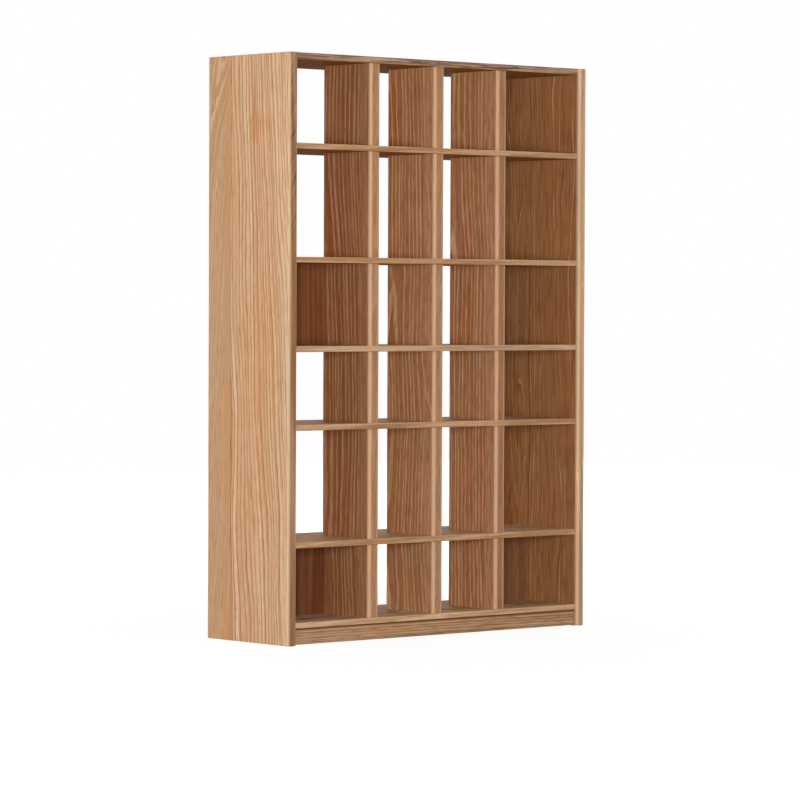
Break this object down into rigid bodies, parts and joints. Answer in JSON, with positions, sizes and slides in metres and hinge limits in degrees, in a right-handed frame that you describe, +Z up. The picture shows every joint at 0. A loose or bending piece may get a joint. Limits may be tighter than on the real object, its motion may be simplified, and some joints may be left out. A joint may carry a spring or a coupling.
{
  "type": "bookcase",
  "caption": "Tall open bookcase in solid wood: deep sides, full-width shelves, short rounded dividers between them, a plinth and partly closed outer columns.",
  "frame": {"origin": "middle of the footprint, on the floor that the sides stand on", "axes": "+Z up, +X to the right as seen from the front, front towards -Y"},
  "size_m": [1.52, 0.48, 2.2],
  "materials": {
    "oak_sides": "oiled satin, grain along the height",
    "oak_shelves": "oiled satin, grain along the width",
    "oak_dividers": "oiled satin, grain along the height",
    "oak_back_panels": "dark stained satin, grain along the height",
    "beech_dowels": "plain sanded",
    "zinc_screws": "zinc plated"
  },
  "bodies": {
    "root": {"side_left_front_plank": "oak_sides", "side_left_rear_plank": "oak_sides", "side_right_front_plank": "oak_sides", "side_right_rear_plank": "oak_sides", "top_board": "oak_shelves", "shelf_1": "oak_shelves", "shelf_2": "oak_shelves", "shelf_3": "oak_shelves", "shelf_4": "oak_shelves", "shelf_5": "oak_shelves", "bottom_shelf": "oak_shelves", "plinth": "oak_shelves", "divider_row_1_left": "oak_dividers", "divider_row_1_middle": "oak_dividers", "divider_row_1_right": "oak_dividers", "divider_row_2_left": "oak_dividers", "divider_row_2_middle": "oak_dividers", "divider_row_2_right": "oak_dividers", "divider_row_3_left": "oak_dividers", "divider_row_3_middle": "oak_dividers", "divider_row_3_right": "oak_dividers", "divider_row_4_left": "oak_dividers", "divider_row_4_middle": "oak_dividers", "divider_row_4_right": "oak_dividers", "divider_row_5_left": "oak_dividers", "divider_row_5_middle": "oak_dividers", "divider_row_5_right": "oak_dividers", "divider_row_6_left": "oak_dividers", "divider_row_6_middle": "oak_dividers", "divider_row_6_right": "oak_dividers", "back_panel_row_3_left": "oak_back_panels", "back_panel_row_6_left": "oak_back_panels", "back_panel_row_3_right": "oak_back_panels", "back_panel_row_6_right": "oak_back_panels", "side_dowels": "beech_dowels", "seam_dowels": "beech_dowels", "shelf_dowels": "beech_dowels", "blind_dowels": "beech_dowels", "panel_screws": "zinc_screws"}
  },
  "joints": []
}
